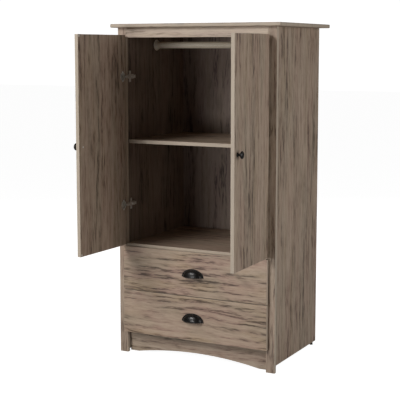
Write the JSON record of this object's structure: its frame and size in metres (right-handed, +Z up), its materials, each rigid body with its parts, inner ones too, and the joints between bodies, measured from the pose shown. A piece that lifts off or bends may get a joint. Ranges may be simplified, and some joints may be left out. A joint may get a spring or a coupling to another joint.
{
  "type": "armoire",
  "caption": "Free-standing wardrobe with side-hinged doors over stacked drawers, a hanging rod, a middle shelf, an overhanging top and an arched kick plate.",
  "frame": {"origin": "on the floor, in the middle of the width, in line with the front face of the stiles", "axes": "+Z up, -Y out of the front where the doors and drawers open, +X to the viewer's right when facing the front"},
  "size_m": [0.816, 0.8937, 1.475],
  "materials": {
    "laminate": "grey-brown weathered wood-grain laminate, satin",
    "hardboard": "thin printed hardboard, matt",
    "drawer_box": "foil-wrapped particle board, matt",
    "rod": "pale turned wood, clear satin",
    "cream_plastic": "moulded, satin",
    "black_plastic": "moulded, matt",
    "black_metal": "black painted cast metal, semi-gloss",
    "nickel_steel": "nickel-plated pressed steel"
  },
  "bodies": {
    "case": {"left_side_panel": "laminate", "right_side_panel": "laminate", "left_stile": "laminate", "right_stile": "laminate", "top_panel": "laminate", "top_rail": "laminate", "deck_panel": "laminate", "middle_shelf": "laminate", "back_panel": "hardboard", "kick_plate": "laminate", "left_rear_glide": "black_plastic", "right_rear_glide": "black_plastic", "hanging_rod": "rod", "left_rod_flange": "cream_plastic", "right_rod_flange": "cream_plastic", "left_front_shelf_pin": "nickel_steel", "left_rear_shelf_pin": "nickel_steel", "left_upper_hinge_plate": "nickel_steel", "left_upper_hinge_arm": "nickel_steel", "left_upper_case_runner": "nickel_steel", "left_lower_hinge_plate": "nickel_steel", "left_lower_hinge_arm": "nickel_steel", "left_lower_case_runner": "nickel_steel", "right_front_shelf_pin": "nickel_steel", "right_rear_shelf_pin": "nickel_steel", "right_upper_hinge_plate": "nickel_steel", "right_upper_hinge_arm": "nickel_steel", "right_upper_case_runner": "nickel_steel", "right_lower_hinge_plate": "nickel_steel", "right_lower_hinge_arm": "nickel_steel", "right_lower_case_runner": "nickel_steel"},
    "left_door": {"left_door_panel": "laminate", "left_door_knob": "black_metal", "left_upper_hinge_cup": "nickel_steel", "left_lower_hinge_cup": "nickel_steel"},
    "left_hinge_links": {"left_upper_hinge_link": "nickel_steel", "left_lower_hinge_link": "nickel_steel"},
    "right_door": {"right_door_panel": "laminate", "right_door_knob": "black_metal", "right_upper_hinge_cup": "nickel_steel", "right_lower_hinge_cup": "nickel_steel"},
    "right_hinge_links": {"right_upper_hinge_link": "nickel_steel", "right_lower_hinge_link": "nickel_steel"},
    "upper_drawer": {"upper_drawer_front": "laminate", "left_upper_drawer_side": "drawer_box", "right_upper_drawer_side": "drawer_box", "upper_drawer_back": "drawer_box", "upper_drawer_bottom": "hardboard", "upper_cup_pull": "black_metal", "left_upper_drawer_runner": "nickel_steel", "right_upper_drawer_runner": "nickel_steel"},
    "lower_drawer": {"lower_drawer_front": "laminate", "left_lower_drawer_side": "drawer_box", "right_lower_drawer_side": "drawer_box", "lower_drawer_back": "drawer_box", "lower_drawer_bottom": "hardboard", "lower_cup_pull": "black_metal", "left_lower_drawer_runner": "nickel_steel", "right_lower_drawer_runner": "nickel_steel"}
  },
  "joints": [
    {"name": "left_door_hinge", "type": "hinge", "parent": "case", "child": "left_door", "pos_m": [-0.349, -0.014, 0.962], "axis": [0, 0, 1], "range_deg": [-13, 92]},
    {"name": "left_hinge_link_pivot", "type": "hinge", "parent": "case", "child": "left_hinge_links", "pos_m": [-0.334, -0.004, 0.962], "axis": [0, 0, 1], "range_deg": [-14, 93]},
    {"name": "right_door_hinge", "type": "hinge", "parent": "case", "child": "right_door", "pos_m": [0.349, -0.014, 0.962], "axis": [0, 0, -1], "range_deg": [-13, 92]},
    {"name": "right_hinge_link_pivot", "type": "hinge", "parent": "case", "child": "right_hinge_links", "pos_m": [0.334, -0.004, 0.962], "axis": [0, 0, -1], "range_deg": [-14, 93]},
    {"name": "upper_drawer_slide", "type": "slide", "parent": "case", "child": "upper_drawer", "axis": [0, -1, 0], "range_m": [0, 0.33]},
    {"name": "lower_drawer_slide", "type": "slide", "parent": "case", "child": "lower_drawer", "axis": [0, -1, 0], "range_m": [0, 0.33]}
  ],
  "couplings": [
    {"joint": "left_hinge_link_pivot", "follows": "left_door_hinge", "ratio": 1},
    {"joint": "right_hinge_link_pivot", "follows": "right_door_hinge", "ratio": 1}
  ]
}
